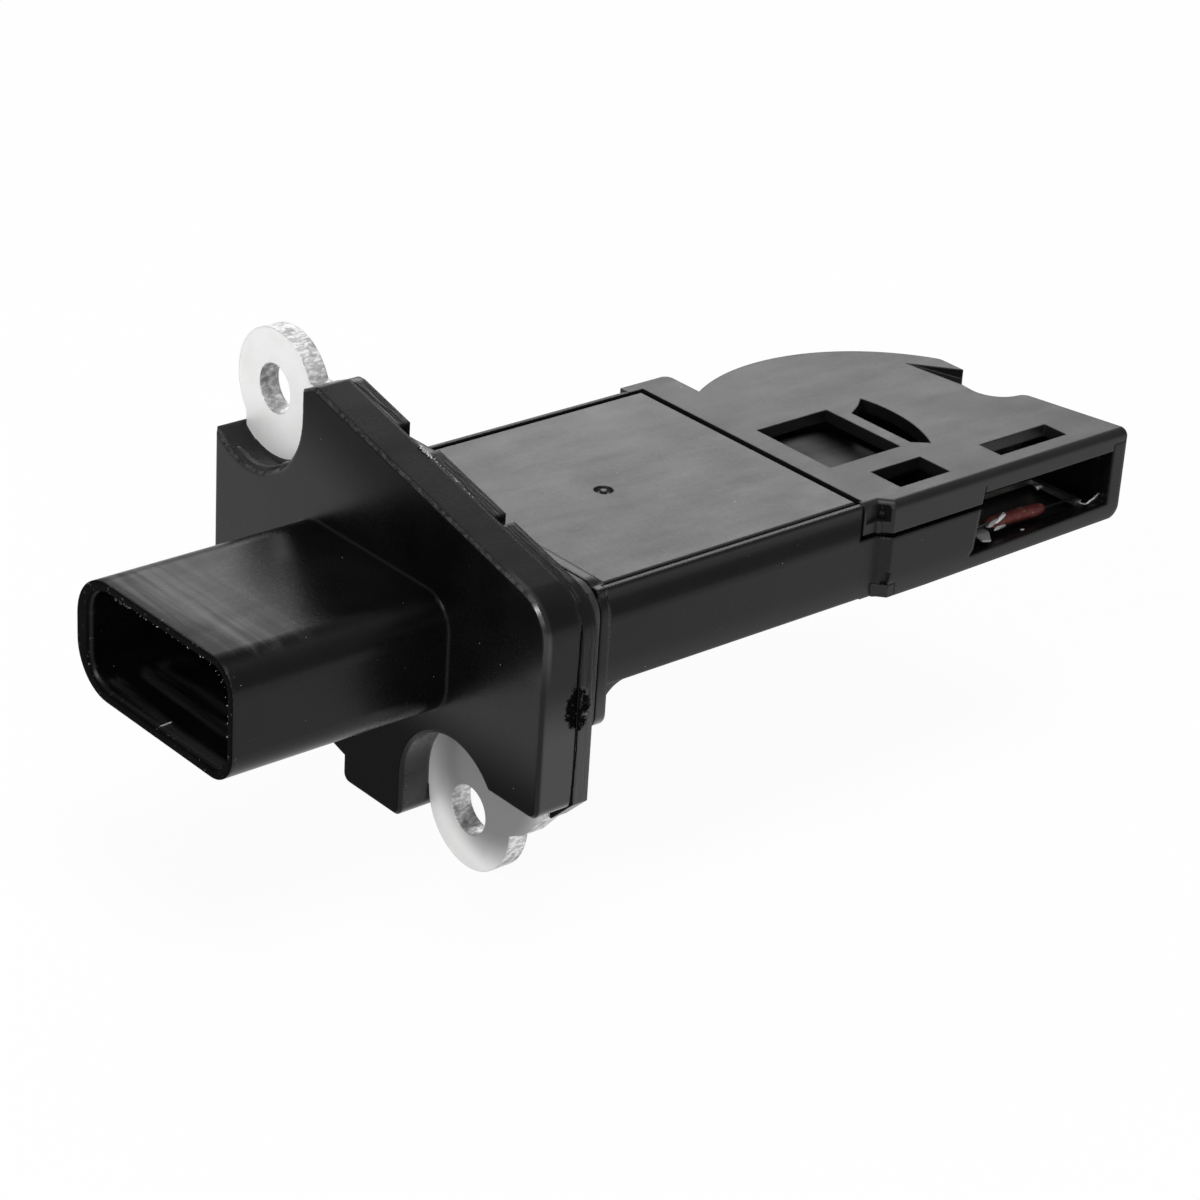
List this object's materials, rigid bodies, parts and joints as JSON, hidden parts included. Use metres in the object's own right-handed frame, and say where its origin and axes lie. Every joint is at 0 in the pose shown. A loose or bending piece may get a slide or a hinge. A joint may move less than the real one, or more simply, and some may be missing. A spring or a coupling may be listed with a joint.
{
  "type": "plug-in mass airflow sensor",
  "caption": "Plug-in mass airflow sensor: oval connector shroud, flange with steel screw lugs, flat blade with a circuit lid, and a bypass end with an air inlet.",
  "frame": {"origin": "centre line of the blade at the flange's seat face, which lands on the air duct", "axes": "+X into the duct along the blade, +Z out through the circuit lid, +Y across the blade towards the high screw lug"},
  "size_m": [0.0938, 0.0492, 0.041],
  "materials": {
    "housing_plastic": "fine moulded grain",
    "cover_plastic": "fine moulded grain",
    "plate_steel": "stamped, zinc plated",
    "seal_rubber": "matte",
    "tinned_metal": "tinned",
    "lead_metal": "nickel plated",
    "ribbon_metal": "bright",
    "base_aluminium": "satin",
    "board_ceramic": "printed ceramic",
    "chip_plastic": "moulded",
    "capacitor_ceramic": "fired ceramic",
    "element_glass": "glass coated",
    "bead_glass": "glass coated",
    "sealant": "cured silicone"
  },
  "bodies": {
    "root": {"housing": "housing_plastic", "circuit_lid": "cover_plastic", "bypass_cap": "cover_plastic", "lower_cover": "cover_plastic", "mounting_plate": "plate_steel", "seal_ring": "seal_rubber", "terminal_1": "tinned_metal", "terminal_2": "tinned_metal", "terminal_3": "tinned_metal", "terminal_4": "tinned_metal", "terminal_5": "tinned_metal", "hot_lead_1": "lead_metal", "hot_lead_2": "lead_metal", "cold_lead_1": "lead_metal", "cold_lead_2": "lead_metal", "bead_lead_near": "lead_metal", "bead_lead_far": "lead_metal", "terminal_bond_1": "ribbon_metal", "terminal_bond_2": "ribbon_metal", "terminal_bond_3": "ribbon_metal", "terminal_bond_4": "ribbon_metal", "terminal_bond_5": "ribbon_metal", "sensor_bond_1": "ribbon_metal", "sensor_bond_2": "ribbon_metal", "sensor_bond_3": "ribbon_metal", "sensor_bond_4": "ribbon_metal", "sensor_bond_5": "ribbon_metal", "sensor_bond_6": "ribbon_metal", "base_plate": "base_aluminium", "circuit_board": "board_ceramic", "control_chip": "chip_plastic", "output_chip": "chip_plastic", "capacitor_1": "capacitor_ceramic", "capacitor_2": "capacitor_ceramic", "capacitor_3": "capacitor_ceramic", "capacitor_4": "capacitor_ceramic", "hot_element": "element_glass", "cold_element": "element_glass", "air_temperature_bead": "bead_glass", "lid_sealant": "sealant"}
  },
  "joints": []
}
